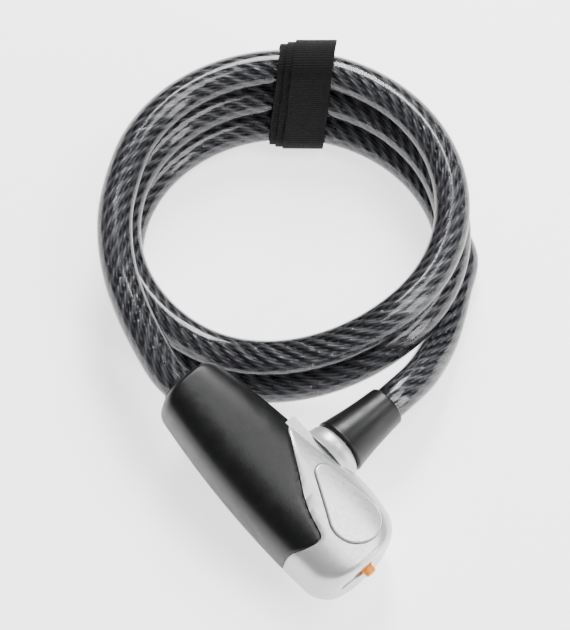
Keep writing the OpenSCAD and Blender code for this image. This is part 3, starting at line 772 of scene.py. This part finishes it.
def loop_point(s, r):
    """A place round the turns, s from 0 to 1, at distance r from the line through their middles."""
    arc = math.pi * 7.5
    length = 2 * run + 2 * arc
    d = (s % 1.0) * length
    if d < run:
        return BOTTOM - down * d + out * r
    if d < run + arc:
        a = out_angle + math.pi * (d - run) / arc
        return TOP + r * Vector((math.cos(a), math.sin(a)))
    if d < 2 * run + arc:
        return TOP + down * (d - run - arc) - out * r
    a = out_angle + math.pi + math.pi * (d - 2 * run - arc) / arc
    return BOTTOM + r * Vector((math.cos(a), math.sin(a)))


def strap_mesh():
    rings, us, length, before = [], [], 0.0, None
    across = [(-0.5 + k / 8) * 0.985 for k in range(9)]
    profile = [(-0.5, 0.0)] + [(x, 0.5) for x in across] + [(0.5, 0.0)] + [(-x, -0.5) for x in across]
    for i in range(STRAP_STEPS + 1):
        turns = WRAPS * i / STRAP_STEPS
        s = STRAP_START + turns
        r = STRAP_INNER_R + (STRAP_T + STRAP_LAYER_GAP) * turns + STRAP_T / 2
        here, ahead = loop_point(s, r), loop_point(s + 0.002, r)
        t = (ahead - here).normalized()
        normal = Vector((t[1], -t[0]))
        middle = 16.8 + 0.14 * (here[0] - 157.8) + 0.074 * (here[1] - 40) - 2.5 * (WRAPS - turns)
        middle += 0.12 * math.sin(17 * s) + 0.08 * math.sin(41 * s)
        if before is not None:
            length += (here - before).length
        before = here
        us.append(length)
        ring = []
        for x, y in profile:
            w = here + normal * (y * STRAP_T + 0.05 * math.sin(29 * s + 3 * x))
            ring.append(lying(middle + x * STRAP_W, w[0], w[1]))
        rings.append(ring)
    verts, faces = skin(rings)
    obj = new_object("strap_wrap", verts, faces, None)
    uv = obj.data.uv_layers.new(name="cloth")
    m = len(profile)
    for poly in obj.data.polygons:
        for loop in poly.loop_indices:
            v = obj.data.loops[loop].vertex_index
            if v < len(rings) * m:
                uv.data[loop].uv = (us[v // m] / 10, profile[v % m][0] * STRAP_W / 10)
    return obj, length


def cloth_material():
    m, tree, shader = material("woven strap", Roughness=0.9, Specular_IOR_Level=0.3)
    uv = add(tree, "ShaderNodeTexCoord")
    ribs = []
    for direction, scale in (("X", 11.0), ("Y", 16.0)):
        wave = add(tree, "ShaderNodeTexWave", {"Scale": scale / 3.1, "Distortion": 0.5, "Detail": 1.0,
                                               "Detail Scale": 3.0}, wave_type="BANDS", bands_direction=direction)
        tree.links.new(uv.outputs["UV"], wave.inputs["Vector"])
        ribs.append(wave.outputs["Fac"])
    weave = add(tree, "ShaderNodeMath", operation="MULTIPLY")
    tree.links.new(ribs[0], weave.inputs[0])
    tree.links.new(ribs[1], weave.inputs[1])
    fuzz = add(tree, "ShaderNodeMath", {1: 0.5}, operation="MULTIPLY_ADD")
    tree.links.new(noise(tree, 2200, 3.0), fuzz.inputs[0])
    tree.links.new(weave.outputs[0], fuzz.inputs[2])
    tint(tree, shader, weave.outputs[0], (0.0015, 0.0015, 0.0018), (0.009, 0.009, 0.01))
    bump(tree, shader, fuzz.outputs[0], 0.0003)
    return m


strap, strap_length = strap_mesh()
CLOTH = cloth_material()
strap.data.materials.append(CLOTH)
strap.data.set_sharp_from_angle(angle=math.radians(50))
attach(strap, "head")
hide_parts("strap")

# ---------------------------------------------------------------- the pieces kept from the CAD
KEPT = {
    "lock_body": DIECAST, "cable_ferrule": TURNED, "ferrule_pin": STEEL, "cover_screws": SCREW,
    "cylinder_barrel": BRASS, "barrel_pin": STEEL, "key_plug": BRASS, "plug_cam": STEEL, "cam_screw": SCREW,
    "latch_plate": STEEL, "eject_spring": STEEL, "locking_bolt": TURNED, "end_ferrule": TURNED,
    "bolt_cross_pin": STEEL, "wafer_1": BRASS, "wafer_2": BRASS, "wafer_3": BRASS, "wafer_4": BRASS,
    "wafer_5": BRASS,
}
for name, mat in KEPT.items():
    for holder in nodes[name].material_slots:
        holder.material = mat
    edge = nodes[name].modifiers.new("edge", "BEVEL")
    edge.width, edge.segments, edge.limit_method, edge.angle_limit = 0.00012, 2, "ANGLE", math.radians(40)

# ---------------------------------------------------------------- floor
floor = new_object("floor", [(-4, -4, 0), (4, -4, 0), (4, 4, 0), (-4, 4, 0)], [(0, 1, 2, 3)], None, smooth=False)
FLOOR, floor_tree, floor_shader = material("floor", Base_Color=(0.95, 0.95, 0.95), Roughness=0.6,
                                            Emission_Color=(1.0, 1.0, 1.0), Emission_Strength=1.9)
floor.data.materials.append(FLOOR)
